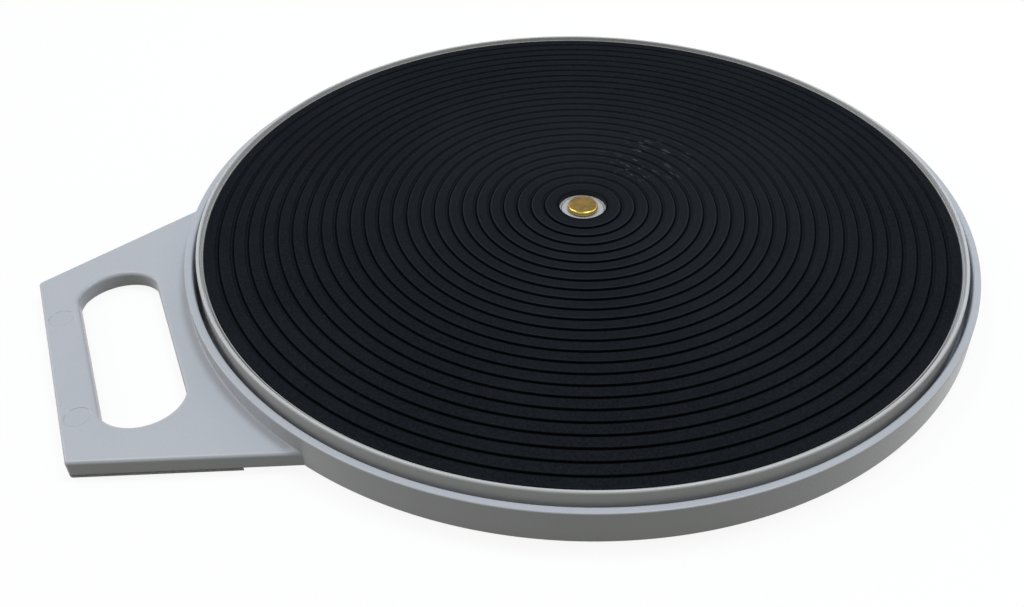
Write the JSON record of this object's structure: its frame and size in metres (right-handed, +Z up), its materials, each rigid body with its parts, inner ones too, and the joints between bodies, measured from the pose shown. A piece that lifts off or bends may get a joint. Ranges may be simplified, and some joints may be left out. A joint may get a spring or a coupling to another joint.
{
  "type": "pottery turntable",
  "caption": "Low hand-turned pottery turntable: ribbed black round head on a ball race in a shallow grey tray with a flat slotted carry handle.",
  "frame": {"origin": "on the spin axis, at the level of the surface that the turntable stands on", "axes": "+Z up along the spin axis, the handle points along -X"},
  "size_m": [0.4402, 0.381, 0.0215],
  "materials": {
    "grey_plastic": "satin moulded plastic, cool pale grey",
    "black_rubber": "fine-grained moulded rubber with a low sheen",
    "turned_brass": "turned and lightly tarnished",
    "bright_steel": "bright",
    "white_nylon": "natural white nylon",
    "grey_foam": "matt closed-cell non-slip foam"
  },
  "bodies": {
    "tray": {"base_tray": "grey_plastic", "pivot_pin": "turned_brass", "lower_washer": "bright_steel", "retaining_clip": "bright_steel", "base_grip_pad": "grey_foam", "handle_grip_pad": "grey_foam"},
    "turntable": {"turntable_head": "grey_plastic", "ribbed_mat": "black_rubber", "hub_bush": "white_nylon", "head_washer": "white_nylon"},
    "ball_ring": {"ball_cage": "white_nylon", "race_ball_01": "bright_steel", "race_ball_02": "bright_steel", "race_ball_03": "bright_steel", "race_ball_04": "bright_steel", "race_ball_05": "bright_steel", "race_ball_06": "bright_steel", "race_ball_07": "bright_steel", "race_ball_08": "bright_steel", "race_ball_09": "bright_steel", "race_ball_10": "bright_steel", "race_ball_11": "bright_steel", "race_ball_12": "bright_steel", "race_ball_13": "bright_steel", "race_ball_14": "bright_steel", "race_ball_15": "bright_steel", "race_ball_16": "bright_steel"}
  },
  "joints": [
    {"name": "turntable_spin", "type": "hinge", "parent": "tray", "child": "turntable", "pos_m": [0, 0, 0.018], "axis": [0, 0, 1], "continuous": true},
    {"name": "ball_ring_spin", "type": "hinge", "parent": "tray", "child": "ball_ring", "pos_m": [0, 0, 0.0096], "axis": [0, 0, 1], "continuous": true}
  ],
  "couplings": [
    {"joint": "ball_ring_spin", "follows": "turntable_spin", "ratio": 0.5}
  ]
}
